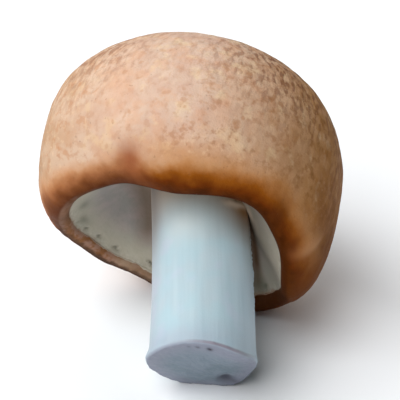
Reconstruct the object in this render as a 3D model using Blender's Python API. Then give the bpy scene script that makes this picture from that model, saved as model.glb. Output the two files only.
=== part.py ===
"""A young almond mushroom, picked whole and lying on its side.

It has three pieces: the brown cap, the pale veil that closes the cap's underside, and the cut stem.
The cap and the veil are turned blanks that waves and dents then make uneven, and the stem is a turned
blank that is bowed. Lengths are in millimetres until the meshes are made, and then in metres.
"""

import math

import bmesh
import bpy
from mathutils import Vector

MM = 0.001

# The cap's own frame stands it upright: +Z runs to its crown, the origin is the middle of its widest
# ring, and a direction is counted in degrees from +X towards +Y.
CAP_RADIUS = 25.0
CROWN_HEIGHT = 22.8
CROWN_FULLNESS = 2.3  # power of the crown's superellipse: 2 is an ellipse, and more is squarer
SKIRT_DEPTH = 11.7  # from the widest ring down to the lip
SKIRT_FULLNESS = 1.95
MOUTH_RADIUS = 20.0  # to the lowest line of the lip
LIP_RADIUS = 1.7

# Waves round the cap: how many there are in a turn, their height and the direction of a crest.
GIRTH_WAVES = ((1, 0.5, 286), (4, 0.3, 39))
SKIRT_WAVES = ((1, 1.75, 49), (2, 1.65, 23), (3, 0.35, -9), (4, 0.8, 6), (5, 0.55, -1))
MOUTH_WAVES = ((1, 1.6, 59), (2, 0.7, -16), (3, 0.65, 80), (4, 0.8, 53))

# Lumps and dents: direction, half-width in degrees, level of the middle, half-height and height.
CAP_LUMPS = (
    (104, 15, -8.0, 6.0, 1.0),  # the side it lies on
    (214, 22, 9.0, 6.0, 0.55),
    (339, 14, 12.5, 5.5, 0.4),
    (205, 13, -4.5, 5.0, -0.3),
    (17, 14, -9.5, 4.5, 0.35),
    (49, 12, -12.5, 4.0, 0.35),
    (236, 13, -8.0, 6.0, -0.9),  # two folds in the margin
    (331, 10, -9.0, 7.0, -0.7),
    (133, 8, -9.0, 4.0, 0.5),  # the uneven far margin
    (152, 8, -9.0, 4.0, -0.4),
    (167, 8, -9.0, 4.0, 0.4),
)

# The veil hangs between the lip and the stem, and its throat is where it meets the stem.
VEIL_THICKNESS = 0.9
VEIL_HOLLOW = 1.35  # power of its slope: 1 is a cone, and more is a bowl
THROAT_LEVEL = -1.5
THROAT_RADIUS = 8.0
VEIL_PITS = 28  # a row of small pits along its outer edge
# Their uneven spacing: waves in a turn, swing in radians, start and the row's lag in degrees.
PIT_DRIFT = (4, 2.5, 170, 81)
PIT_ROW = 1.3  # distance of the row from the edge
PIT_WIDTH = 0.8
PIT_DEPTH = 0.4

# The stem leans from the cap's axis towards +X, and passes through STEM_AT.
STEM_LEAN = 15.6
STEM_AT = (2.4, 0.7, -4.0)
STEM_TOP = 7.0  # length above STEM_AT, sunk in the cap
STEM_FOOT = 27.8  # length below STEM_AT
STEM_BOW = 0.4
NECK_RADIUS = 7.8
FOOT_RADIUS = 8.5
CUT_FLARE = 0.2  # the cut end is a little wider than the stem
STEM_LUMPS = ((10, 55, 3.2, 2.2, -4.0), (197, 25, -27.3, 1.3, 0.3))
CUT_DOME = 0.5
# Lumps on the cut end: distance from its middle, direction, half-width and height.
CUT_LUMPS = (
    (8.5, 62, 3.6, 0.85),
    (8.5, 325, 5.0, 1.25),
    (8.5, 165, 5.5, -0.5),
    (8.5, 235, 5.0, -0.35),
    (5.9, 59, 1.0, -1.4),
)

# How it lies: the cap's axis points up from the floor and to the right of the stem.
CAP_RISE = 34.3
CAP_TURN = 17.4
REST_PRESS = 0.45  # how far the flesh is flattened where it rests

FIT_GAP = 0.3
ROUND_STEPS = 84
VEIL_STEPS = 120
STEM_STEPS = 44
FLOOR_SIZE = 200.0


def wave(waves, direction):
    """Sum of the waves in this direction, in millimetres."""
    return sum(
        height * math.cos(math.radians(count * (direction - crest)))
        for count, height, crest in waves
    )


def bell(distance, half_width):
    return math.exp(-((distance / half_width) ** 2))


def swelling(lumps, direction, level):
    """How far the lumps and dents move the side outwards here, in millimetres."""
    total = 0
    for at, half_width, middle, half_height, height in lumps:
        turn = (direction - at + 180) % 360 - 180
        total += height * bell(turn, half_width) * bell(level - middle, half_height)
    return total


def shares(count):
    """count + 1 even steps from 0 to 1."""
    return [i / count for i in range(count + 1)]


def quarter(power, count):
    """(sine, cosine) along a quarter turn, raised for a superellipse of this power."""
    angles = [math.pi / 2 * share for share in shares(count)]
    return [(math.sin(a) ** (2 / power), max(0, math.cos(a)) ** (2 / power)) for a in angles]


LIP_EDGE = MOUTH_RADIUS - LIP_RADIUS
LIP_LEVEL = LIP_RADIUS - SKIRT_DEPTH


def veil_level(radius):
    """Height of the veil's lower face, which runs from behind the lip up to the throat."""
    share = max(0, (radius - THROAT_RADIUS) / (LIP_EDGE - THROAT_RADIUS))
    return THROAT_LEVEL + (LIP_LEVEL - THROAT_LEVEL) * share**VEIL_HOLLOW


def cap_profile():
    """Outline of the cap, from the crown out over the skirt, round the lip and in behind the veil."""
    crown = [(CAP_RADIUS * s, CROWN_HEIGHT * c) for s, c in quarter(CROWN_FULLNESS, 15)]
    inroll = CAP_RADIUS - MOUTH_RADIUS
    skirt = [
        (MOUTH_RADIUS + inroll * c, -SKIRT_DEPTH * s) for s, c in quarter(SKIRT_FULLNESS, 9)
    ]
    lip = [
        (MOUTH_RADIUS - LIP_RADIUS * s, LIP_LEVEL - LIP_RADIUS * c) for s, c in quarter(2, 5)
    ]
    behind = VEIL_THICKNESS + 1.5 * FIT_GAP
    radii = [LIP_EDGE * (1 - share) for share in shares(8)]
    underside = [(radius, veil_level(radius) + behind) for radius in radii]
    return crown + skirt[1:] + lip[1:] + underside


def veil_profile():
    """Closed outline of the veil's section, which the stem's hole then cuts."""
    outer = LIP_EDGE - FIT_GAP
    inner = THROAT_RADIUS / 2
    radii = [inner + (outer - inner) * math.sin(math.pi / 2 * share) for share in shares(8)]
    lower = [(radius, veil_level(radius)) for radius in radii]
    upper = [(radius, veil_level(radius) + VEIL_THICKNESS) for radius in reversed(radii)]
    return lower + upper


def stem_profile():
    """Outline of the stem along its own axis, from the top down the side and across the cut."""
    side = []
    for share in shares(14):
        level = STEM_TOP - (STEM_TOP + STEM_FOOT) * share
        radius = NECK_RADIUS + (FOOT_RADIUS - NECK_RADIUS) * share**1.5
        flare = CUT_FLARE * bell(level + STEM_FOOT, 1.5)
        side.append((radius + flare, level))
    rim = side[-1][0]
    cut = [(rim * (1 - share), -STEM_FOOT) for share in shares(10)]
    return [(0, STEM_TOP), (rim / 2, STEM_TOP)] + side + cut[1:]


def around(point):
    """The point's distance from the axis, its direction and its level."""
    return math.hypot(point.x, point.y), math.degrees(math.atan2(point.y, point.x)), point.z


def moved_out(point, out, down=0):
    """The point moved away from the axis, and down."""
    radius = math.hypot(point.x, point.y)
    stretch = (radius + out) / radius if radius else 1
    return Vector((point.x * stretch, point.y * stretch, point.z - down))


def cap_form(point):
    """Moves a point of a turned blank to its place on the uneven cap or veil."""
    radius, direction, level = around(point)
    girth = wave(GIRTH_WAVES, direction)
    skirt = wave(SKIRT_WAVES, direction)
    mouth = wave(MOUTH_WAVES, direction)
    if level >= 0:
        out, down = girth * (radius / CAP_RADIUS) ** 2, 0
    elif radius >= MOUTH_RADIUS:
        share = (radius - MOUTH_RADIUS) / (CAP_RADIUS - MOUTH_RADIUS)
        out = girth * share + mouth * (1 - share)
        down = skirt * -level / SKIRT_DEPTH
    else:
        share = max(0, (radius - THROAT_RADIUS / 2) / (MOUTH_RADIUS - THROAT_RADIUS / 2))
        out, down = mouth * share, skirt * share
    out += swelling(CAP_LUMPS, direction, level) * min(1, radius / MOUTH_RADIUS)
    return moved_out(point, out, down)


def veil_form(point):
    """The cap's form, with a row of pits in the veil's lower face."""
    radius, direction, level = around(point)
    moved = cap_form(point)
    if level < veil_level(radius) + VEIL_THICKNESS / 2:
        waves, swing, start, lag = PIT_DRIFT
        drift = swing * math.sin(math.radians(waves * (direction - start)))
        along = math.cos(math.radians(VEIL_PITS * direction - lag) + drift)
        across = bell(LIP_EDGE - FIT_GAP - PIT_ROW - radius, PIT_WIDTH)
        moved.z += PIT_DEPTH * across * (0.5 + 0.5 * along) ** 1.5
    return moved


def stem_form(point):
    """Bows the stem, narrows its neck, and domes and pits its cut end."""
    radius, direction, level = around(point)
    moved = moved_out(point, swelling(STEM_LUMPS, direction, level) * min(1, radius / NECK_RADIUS))
    moved.x += STEM_BOW * math.sin(math.pi * (STEM_TOP - level) / (STEM_TOP + STEM_FOOT))
    if level < 0.001 - STEM_FOOT:
        moved.z -= CUT_DOME * (1 - (radius / FOOT_RADIUS) ** 2)
        for distance, at, half_width, height in CUT_LUMPS:
            middle = (distance * math.cos(math.radians(at)), distance * math.sin(math.radians(at)))
            moved.z -= height * bell(math.dist(point.xy, middle), half_width)
    return moved


def new_material(name, colour, roughness):
    material = bpy.data.materials.new(name)
    material.use_nodes = True
    shader = material.node_tree.nodes["Principled BSDF"]
    shader.inputs["Base Color"].default_value = (*colour, 1)
    shader.inputs["Roughness"].default_value = roughness
    shader.inputs["Metallic"].default_value = 0
    material.diffuse_color = (*colour, 1)
    return material


def turned(name, profile, steps, form, material=None, closed=False):
    """An object made by spinning a profile about Z and moving each point by its form."""
    bm = bmesh.new()
    line = [bm.verts.new((radius, 0, level)) for radius, level in profile]
    pairs = list(zip(line, line[1:]))
    if closed:
        pairs.append((line[-1], line[0]))
    edges = [bm.edges.new(pair) for pair in pairs]
    bmesh.ops.spin(
        bm,
        geom=line + edges,
        cent=(0, 0, 0),
        axis=(0, 0, 1),
        angle=2 * math.pi,
        steps=steps,
        use_merge=True,
    )
    bmesh.ops.remove_doubles(bm, verts=bm.verts, dist=0.001)
    for vert in bm.verts:
        vert.co = form(vert.co) * MM
    bmesh.ops.recalc_face_normals(bm, faces=bm.faces)
    mesh = bpy.data.meshes.new(name)
    bm.to_mesh(mesh)
    bm.free()
    mesh.shade_smooth()
    mesh.set_sharp_from_angle(angle=math.radians(50))
    obj = bpy.data.objects.new(name, mesh)
    bpy.context.scene.collection.objects.link(obj)
    if material:
        mesh.materials.append(material)
    return obj


def as_cutter(obj):
    obj.hide_render = True
    obj.display_type = "WIRE"
    return obj


def cut(obj, cutter):
    modifier = obj.modifiers.new("cut_by_" + cutter.name, "BOOLEAN")
    modifier.operation = "DIFFERENCE"
    modifier.object = cutter
    modifier.solver = "EXACT"


def stem_room():
    """A cutter with the stem's side, grown by the fit gap and run on above and below it."""
    side = [(radius + FIT_GAP, level) for radius, level in stem_profile() if radius]
    side = [(radius, level) for radius, level in side if -STEM_FOOT < level < STEM_TOP]
    top = [(0, STEM_TOP + FIT_GAP), (NECK_RADIUS + FIT_GAP, STEM_TOP + FIT_GAP)]
    bottom = (0, side[-1][1])
    return as_cutter(turned("stem_room", [*top, *side, bottom], STEM_STEPS, stem_form))


def floor_cutter():
    """The surface that the mushroom lies on, which flattens what presses into it."""
    bm = bmesh.new()
    bmesh.ops.create_cube(bm, size=FLOOR_SIZE * MM)
    mesh = bpy.data.meshes.new("floor_cutter")
    bm.to_mesh(mesh)
    bm.free()
    obj = bpy.data.objects.new("floor_cutter", mesh)
    obj.location.z = -FLOOR_SIZE / 2 * MM
    bpy.context.scene.collection.objects.link(obj)
    return as_cutter(obj)


def lay_down(pose, pieces, resting):
    """Turns the mushroom on its side, over the origin, with its lowest flesh pressed into the floor."""
    pose.rotation_euler = (math.radians(CAP_RISE - 90), 0, math.radians(-CAP_TURN))
    bpy.context.view_layer.update()
    corners = [obj.matrix_world @ v.co for obj in pieces for v in obj.data.vertices]
    low = [min(c[axis] for c in corners) for axis in range(3)]
    high = [max(c[axis] for c in corners) for axis in range(3)]
    lowest = min((resting.matrix_world @ v.co).z for v in resting.data.vertices)
    pose.location = (
        -(low[0] + high[0]) / 2,
        -(low[1] + high[1]) / 2,
        -lowest - REST_PRESS * MM,
    )
    bpy.context.view_layer.update()


def main():
    for obj in list(bpy.data.objects):
        bpy.data.objects.remove(obj)

    skin = new_material("cap_skin", (0.56, 0.33, 0.18), 0.6)
    membrane = new_material("veil_membrane", (0.66, 0.62, 0.53), 0.7)
    flesh = new_material("stem_flesh", (0.78, 0.83, 0.84), 0.55)

    cap = turned("cap", cap_profile(), ROUND_STEPS, cap_form, skin)
    veil = turned("veil", veil_profile(), VEIL_STEPS, veil_form, membrane, closed=True)
    stem = turned("stem", stem_profile(), STEM_STEPS, stem_form, flesh)
    room = stem_room()
    floor = floor_cutter()

    pose = bpy.data.objects.new("lying_mushroom", None)
    bpy.context.scene.collection.objects.link(pose)
    for obj in (cap, veil, stem, room):
        obj.parent = pose
    for obj in (stem, room):
        obj.location = Vector(STEM_AT) * MM
        obj.rotation_euler.y = math.radians(-STEM_LEAN)
    cut(cap, room)
    cut(veil, room)
    lay_down(pose, (cap, veil, stem), cap)
    cut(cap, floor)
    cut(stem, floor)


main()
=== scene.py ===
"""The looks of the almond mushroom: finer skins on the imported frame, their materials, light and camera.

The forms repeat the part's named values. Lengths are in millimetres until a mesh is made. In the
cap's own frame +Z runs to its crown, and directions are counted in degrees from +X towards +Y. As
the mushroom lies, direction 0 is the cap's right end, 90 the side that it rests on, 180 its left end
and 270 its top. The stem's own frame leans a little and counts them the same way. Colours are given
from 0 to 255.
"""

import math

import bpy
import numpy as np
from mathutils import Euler, Matrix, Vector, noise


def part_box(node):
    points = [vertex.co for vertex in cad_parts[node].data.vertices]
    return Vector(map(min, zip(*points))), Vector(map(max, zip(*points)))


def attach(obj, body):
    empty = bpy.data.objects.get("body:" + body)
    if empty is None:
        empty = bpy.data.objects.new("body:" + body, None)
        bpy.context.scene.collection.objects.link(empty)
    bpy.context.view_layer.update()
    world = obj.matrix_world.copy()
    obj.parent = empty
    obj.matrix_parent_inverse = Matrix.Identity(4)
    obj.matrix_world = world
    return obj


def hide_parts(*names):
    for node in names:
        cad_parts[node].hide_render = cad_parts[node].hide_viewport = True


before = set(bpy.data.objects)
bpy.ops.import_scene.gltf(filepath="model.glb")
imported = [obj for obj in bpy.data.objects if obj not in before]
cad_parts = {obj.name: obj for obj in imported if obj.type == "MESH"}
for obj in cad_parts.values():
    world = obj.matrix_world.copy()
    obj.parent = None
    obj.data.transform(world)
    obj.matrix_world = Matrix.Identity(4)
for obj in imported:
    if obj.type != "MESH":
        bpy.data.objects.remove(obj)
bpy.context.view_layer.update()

MM = 0.001
# the least length that a direction is divided by
TINY = 1e-9

# Sizes of the part

# the cap's outline: radii, heights, and how full each rounded quarter is
CAP_RADIUS = 25.0
CROWN_HEIGHT = 22.8
CROWN_FULLNESS = 2.3
SKIRT_DEPTH = 11.7
SKIRT_FULLNESS = 1.95
LIP_FULLNESS = 2
MOUTH_RADIUS = 20.0
LIP_RADIUS = 1.7
LIP_EDGE = MOUTH_RADIUS - LIP_RADIUS
LIP_LEVEL = LIP_RADIUS - SKIRT_DEPTH
# waves round the cap: how many, their height and the direction of a crest
GIRTH_WAVES = ((1, 0.5, 286), (4, 0.3, 39))
SKIRT_WAVES = ((1, 1.75, 49), (2, 1.65, 23), (3, 0.35, -9), (4, 0.8, 6), (5, 0.55, -1))
MOUTH_WAVES = ((1, 1.6, 59), (2, 0.7, -16), (3, 0.65, 80), (4, 0.8, 53))
# lumps: direction, half-width, level, half-height and height
CAP_LUMPS = (
    (104, 15, -8.0, 6.0, 1.0),
    (214, 22, 9.0, 6.0, 0.55),
    (339, 14, 12.5, 5.5, 0.4),
    (205, 13, -4.5, 5.0, -0.3),
    (17, 14, -9.5, 4.5, 0.35),
    (49, 12, -12.5, 4.0, 0.35),
    (236, 13, -8.0, 6.0, -0.9),
    (331, 10, -9.0, 7.0, -0.7),
    (133, 8, -9.0, 4.0, 0.5),
    (152, 8, -9.0, 4.0, -0.4),
    (167, 8, -9.0, 4.0, 0.4),
)
# how far the crown points up from the floor, and how far the cap is turned to the right
CAP_RISE = 34.3
CAP_TURN = 17.4

# the veil's bowl, and the row of pits beside its edge
VEIL_HOLLOW = 1.35
THROAT_LEVEL = -1.5
THROAT_RADIUS = 8.0
VEIL_PITS = 28
PIT_ROW = 0.55
PIT_WIDTH = 0.42
PIT_DEPTH = 0.4
# how uneven the row is: waves round the edge, their swing in radians, their start and the row's lag
PIT_DRIFT = (4, 2.5, 170, 81)

# the stem's lean and place in the cap, its ends, its bow, its radii and how its side curves out
STEM_LEAN = 15.6
STEM_AT = (2.4, 0.7, -4.0)
STEM_TOP = 7.0
STEM_FOOT = 27.8
STEM_BOW = 0.4
NECK_RADIUS = 7.8
FOOT_RADIUS = 8.5
STEM_TAPER = 1.5
STEM_LUMPS = ((10, 55, 3.2, 2.2, -4.0), (197, 25, -27.3, 1.3, 0.3))
# the cut end: the flare above it and its half-height, its dome and the rounding of its edge
CUT_FLARE = 0.2
FLARE_HEIGHT = 1.5
CUT_DOME = 0.5
CUT_ROUNDING = 0.45
CUT_EASE = 3.5
# lumps on the cut end: distance from its middle, direction, half-width and height
CUT_LUMPS = (
    (8.5, 62, 3.6, 0.85),
    (8.5, 325, 5.0, 1.25),
    (8.5, 165, 5.5, -0.5),
    (8.5, 235, 5.0, -0.35),
    (5.9, 60, 1.3, -0.75),
)


# Forms

# noise: how far apart two seeds are, the fall of its finer octaves, and how much finer each is
SEED_STEP = (17.3, 5.1, 9.7)
OCTAVE_FALL = 0.6
OCTAVE_STEP = 2


def bell(distance, half_width):
    return np.exp(-((distance / half_width) ** 2))


def turn(direction, at):
    """Degrees from one direction to another, from -180 to 180."""
    return (direction - at + 180) % 360 - 180


def climb(value, low, high):
    """Straight way from 0 to 1 between two values. It falls where the first is the higher one."""
    return np.clip((value - low) / (high - low), 0, 1)


def rise(value, middle, breadth):
    """Soft way from 0 to 1 round a middle value. It falls where the breadth is negative."""
    return 1 / (1 + np.exp(-(value - middle) / breadth))


def arc(direction, at, low, high):
    return climb(turn(direction, at), low, high)


def beyond(direction, at, low, high):
    """From 0 near a direction to 1 away from it on both sides."""
    return climb(np.abs(turn(direction, at)), low, high)


def sector(direction, at, half_width, height=1.0):
    return height * bell(turn(direction, at), half_width)


def sectors(rows, direction):
    return sum(sector(direction, *row) for row in rows)


def spot(direction, level, at, half_width, middle, half_height, height=1.0):
    return sector(direction, at, half_width, height) * bell(level - middle, half_height)


def swelling(rows, direction, level):
    return sum(spot(direction, level, *row) for row in rows)


def patch(direction, from_lip, at, above, wide, high, slant):
    """A soft spot on the cap, wide and high in millimetres and slanted by some degrees."""
    across = np.radians(turn(direction, at)) * CAP_RADIUS
    along = from_lip - above
    angle = math.radians(slant)
    u = across * math.cos(angle) + along * math.sin(angle)
    v = along * math.cos(angle) - across * math.sin(angle)
    return bell(u, wide) * bell(v, high)


def wave(waves, direction):
    return sum(h * np.cos(np.radians(count * (direction - crest))) for count, h, crest in waves)


def rough(points, height, size, seed, octaves=3):
    """Smooth noise of about this height, up and down, at each point, with blobs of this size."""
    shift = Vector([seed * step for step in SEED_STEP])
    blobs = (Vector(point) / size + shift for point in points.reshape(-1, 3))
    values = [noise.fractal(blob, OCTAVE_FALL, OCTAVE_STEP, octaves) for blob in blobs]
    return height * np.array(values).reshape(points.shape[:-1])


def veil_level(radius):
    share = np.maximum(0, (radius - THROAT_RADIUS) / (LIP_EDGE - THROAT_RADIUS))
    return THROAT_LEVEL + (LIP_LEVEL - THROAT_LEVEL) * share**VEIL_HOLLOW


def cap_form(radius, direction, level):
    """Place of a turned blank's points on the uneven cap or veil, as rows of x, y and z."""
    girth, skirt, mouth = (wave(w, direction) for w in (GIRTH_WAVES, SKIRT_WAVES, MOUTH_WAVES))
    share = (radius - MOUTH_RADIUS) / (CAP_RADIUS - MOUTH_RADIUS)
    inside = np.maximum(0, (radius - THROAT_RADIUS / 2) / (MOUTH_RADIUS - THROAT_RADIUS / 2))
    on_crown = level >= 0
    on_skirt = ~on_crown & (radius >= MOUTH_RADIUS)
    out = np.where(
        on_crown,
        girth * (radius / CAP_RADIUS) ** 2,
        np.where(on_skirt, girth * share + mouth * (1 - share), mouth * inside),
    )
    down = np.where(on_crown, 0, np.where(on_skirt, skirt * -level / SKIRT_DEPTH, skirt * inside))
    out = out + swelling(CAP_LUMPS, direction, level) * np.minimum(1, radius / MOUTH_RADIUS)
    reach = radius + out * (radius > 0)
    angle = np.radians(direction)
    return np.stack([reach * np.cos(angle), reach * np.sin(angle), level - down], -1)


def stem_form(radius, direction, level):
    """Place of the stem's points in its own frame, but for the lumps on its cut end."""
    reach = radius + swelling(STEM_LUMPS, direction, level) * np.minimum(1, radius / NECK_RADIUS)
    angle = np.radians(direction)
    bow = STEM_BOW * np.sin(math.pi * (STEM_TOP - level) / (STEM_TOP + STEM_FOOT))
    return np.stack([reach * np.cos(angle) + bow, reach * np.sin(angle), level], -1)


def cut_drop(x, y):
    """How far the cut end stands out below the foot's level."""
    radius = np.hypot(x, y)
    drop = CUT_DOME * (1 - (radius / FOOT_RADIUS) ** 2)
    for distance, at, half_width, height in CUT_LUMPS:
        angle = math.radians(at)
        away = np.hypot(x - distance * math.cos(angle), y - distance * math.sin(angle))
        drop = drop + height * bell(away, half_width)
    return drop


LYING = Euler((math.radians(CAP_RISE - 90), 0, math.radians(-CAP_TURN))).to_matrix()
LEANING = Matrix.Rotation(math.radians(-STEM_LEAN), 3, "Y")


def lying(points):
    """Points of the cap's own frame turned as the mushroom lies, still round the origin."""
    return points @ np.array(LYING).T


def stem_in_cap(points):
    return points @ np.array(LEANING).T + np.array(STEM_AT)


def on_floor(points):
    """The points, with those below the floor brought up to it."""
    points[..., 2] = np.maximum(points[..., 2], 0)
    return points


# Meshes

# radius of the innermost ring at a pole
POLE_RADIUS = 0.02


def unit(vectors):
    return vectors / np.maximum(np.linalg.norm(vectors, axis=-1, keepdims=True), TINY)


def normals_of(points, sure_ring):
    """Unit normals of a grid of rings, turned so that they point outwards at one ring."""
    along = np.gradient(points, axis=0)
    around = (np.roll(points, -1, 1) - np.roll(points, 1, 1)) / 2
    normal = unit(np.cross(around, along))
    inwards = (normal[sure_ring] * points[sure_ring]).sum() < 0
    return -normal if inwards else normal


def blank(radius, level, step):
    """Radius, direction and level of the points of a turned blank, ring by ring."""
    direction = np.arange(0, 360, step)
    R, D = np.meshgrid(radius, direction, indexing="ij")
    return R, D, np.repeat(level[:, None], len(direction), 1)


def add_piece(name, world_mm, attributes, material, node, caps=(False, False)):
    """A mesh of rings, each a closed loop, with values kept at its points. It stands for a node."""
    rings, steps = world_mm.shape[:2]
    index = np.arange(rings * steps).reshape(rings, steps)
    near, far = index[:-1], index[1:]
    faces = np.stack([near, np.roll(near, -1, 1), np.roll(far, -1, 1), far], -1).reshape(-1, 4)
    faces = [tuple(face) for face in faces.tolist()]
    if caps[0]:
        faces.append(tuple(index[0][::-1].tolist()))
    if caps[1]:
        faces.append(tuple(index[-1].tolist()))
    mesh = bpy.data.meshes.new(name)
    mesh.from_pydata((world_mm.reshape(-1, 3) * MM).tolist(), [], faces)
    mesh.shade_smooth()
    for key, values in attributes.items():
        flat = np.asarray(values, dtype=np.float32)
        if flat.shape == world_mm.shape:
            mesh.attributes.new(key, "FLOAT_VECTOR", "POINT").data.foreach_set("vector", flat.ravel())
        else:
            mesh.attributes.new(key, "FLOAT", "POINT").data.foreach_set("value", flat.ravel())
    mesh.materials.append(material)
    piece = bpy.data.objects.new(name, mesh)
    bpy.context.scene.collection.objects.link(piece)
    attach(piece, "root")
    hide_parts(node)
    return piece


# The cap

# degrees between the points of a ring, the rings of each stretch, the heights over the lip's level of
# two more behind it, a ring that surely faces out, and the coarser step for finding the cap's place
CAP_STEP = 0.5
CROWN_RINGS = 64
SKIRT_RINGS = 40
LIP_RINGS = 14
BEHIND_LIP = (0.5, 1.1)
CAP_SURE_RING = 20
SHIFT_STEP = 1.0
# lumps of noise: height, size and seed
CAP_BROAD = (0.14, 9.0, 1)
CAP_FINE = (0.05, 2.2, 2)
# the distances from the lip over which the fine lumps, and then all of them, set in
CAP_FINE_START = (-0.6, 1.0)
CAP_SWELL_START = (-2.2, -0.2)

# Places on the cap. A patch is a direction, a distance from the lip, a half-width, a half-height and a
# slant. A sector is a direction and a half-width. A spot has a distance from the lip and a half-height
# too. Either may end with a height other than 1. A rise or fall is the distance where it is halfway,
# and its breadth, and a climb the distances where it starts and is full. A start or end is a
# direction, and the degrees from there at which it is 0 and 1. Beyond means the same on both sides.
# the fold, ridge and crease at the margin, and the patches of colour, the salmon ones with a share. The
# fold keeps its reddish colour with painted shade, the ridge and the light patch carry painted
# highlights, and the crease painted shade.
FOLD = (259.5, 4.0, 2.4, 2.6, 8)
PALE_RIDGE = (348.5, 5.2, 1.1, 3.2, -30)
CREASE = (328, 2.6, 2.3, 2.5, -20)
SALMON_PATCHES = ((1.0, (251, 17.5, 2.2, 5.0, 12)), (0.7, (291, 14.5, 1.6, 3.2, 5)))
HIGHLIGHT_PATCH = (341, 6.5, 2.8, 2.8, -30)
BEIGE_PATCH = (127, -1.6, 2.2, 0.9, 0)
BEIGE_SECTOR = (108, 16)
# the swells of the margin's forms, and a broad swell at the lower right
FOLD_DEPTH = 0.35
RIDGE_HEIGHT = 0.5
CREASE_DEPTH = 0.35
RIGHT_SWELL = (6, 15, 6.5, 5, 0.45)
# how far up the brown of the margin reaches, in millimetres
REACH = 2.5
REACH_SECTORS = (
    (258, 13, 1.0),
    (304, 24, 2.6),
    (333, 18, 1.5),
    (323, 10, 1.3),
    (350, 16, 0.9),
    (12, 14, 2.2),
    (228, 24, 0.4),
    (70, 50, 4.5),
    (203, 13, 1.9),
)
# what depends on the direction fades inside this radius, to these values on the crown
CROWN_BLEND = 15
CROWN_RIGHT = 0.4
CROWN_SCALY = 0.6
CROWN_SPOTTY = 0.5
# the orange right side, the darker tan left side, partly its tone and partly painted shade towards its
# edge, the golden margin beyond it, and the brown right end
RIGHT_START = (288, -8, 44)
RIGHT_END = (290, 150, 90)
LEFT_SECTOR = (208, 34)
WARM_BEYOND = (222, 34, 50)
BROWN_SECTOR = (12, 36, 1.5)
BROWN_FALL = (18, -3.5)
# the small scales on the upper cap, and the soft mottling below them
UPPER_RISE = (21, 3.5)
MIDDLE_RISE = (13, 3.0)
SCALY = 0.45
SCALY_SECTORS = ((318, 28, 0.55), (226, 22, 0.6), (264, 22, -0.28))
SCALY_RIGHT = (2, 14, 0.6)
SCALY_RIGHT_RISE = (10, 2)
SPOTTY = 0.15
SPOTTY_RIGHT = (330, 44, 0.85)
SPOTTY_LOW = (290, 14, 0.4)
SPOTTY_SPOTS = ((286, 26, 8.5, 3.8, 0.8), (336, 26, 8, 5, 0.5))
SPOTTY_LEFT = (212, 28, 0.9)
# the pinkish part of the lip and its dark outline
PINK_LIP_LOW = (156, 56)
PINK_LIP_LEFT = (200, 14, 0.85)
OUTLINE_SECTOR = (138, 42)
# other tints of the cap
APRICOT_SPOT = (282, 24, 5.6, 3.2)
# the darker brown at the low right end: the margin's brown with painted shade
LOW_RIGHT_SECTOR = (9, 17)
LOW_RIGHT_CLIMB = (14, 8)
# painted shade along the cap's right edge
RIGHT_RIM_SHADE_SECTOR = (2, 15)
RIGHT_RIM_SHADE_CLIMB = (13, 21)
LEFT_LINE_SPOT = (194, 13, 0.5, 0.7)
LEFT_END_SECTOR = (197, 17)
# painted shade along the cap's left edge
LEFT_RIM_SHADE_SECTOR = (199, 8)
LEFT_RIM_SHADE_FALL = (22, -3)


def superquarter(power, count):
    """Shares of the width and height along a rounded quarter, fuller where the power is higher."""
    angle = np.linspace(0, math.pi / 2, count + 1)
    return np.sin(angle) ** (2 / power), np.maximum(0, np.cos(angle)) ** (2 / power)


def cap_outline():
    """Radii and levels from the crown to behind the lip, and the way run along them."""
    s, c = superquarter(CROWN_FULLNESS, CROWN_RINGS)
    crown = np.stack([CAP_RADIUS * s, CROWN_HEIGHT * c], -1)
    s, c = superquarter(SKIRT_FULLNESS, SKIRT_RINGS)
    inroll = CAP_RADIUS - MOUTH_RADIUS
    skirt = np.stack([MOUTH_RADIUS + inroll * c, -SKIRT_DEPTH * s], -1)
    s, c = superquarter(LIP_FULLNESS, LIP_RINGS)
    lip = np.stack([MOUTH_RADIUS - LIP_RADIUS * s, LIP_LEVEL - LIP_RADIUS * c], -1)
    behind = np.array([[LIP_EDGE, LIP_LEVEL + above] for above in BEHIND_LIP])
    line = np.concatenate([crown, skirt[1:], lip[1:], behind])
    line[0, 0] = POLE_RADIUS
    way = np.concatenate([[0], np.cumsum(np.hypot(*np.diff(line, axis=0).T))])
    lowest = len(crown) + len(skirt) - 2
    return line[:, 0], line[:, 1], way, way[lowest]


def cap_shift():
    """Where the cap's middle lies: the fine cap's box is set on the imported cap's box."""
    radius, level, _, _ = cap_outline()
    fine = lying(cap_form(*blank(radius, level, SHIFT_STEP))).reshape(-1, 3)
    low, high = (np.array(corner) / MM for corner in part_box("cap"))
    shift = (low + high) / 2 - (fine.min(0) + fine.max(0)) / 2
    shift[2] = high[2] - fine[:, 2].max()
    return shift


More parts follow.
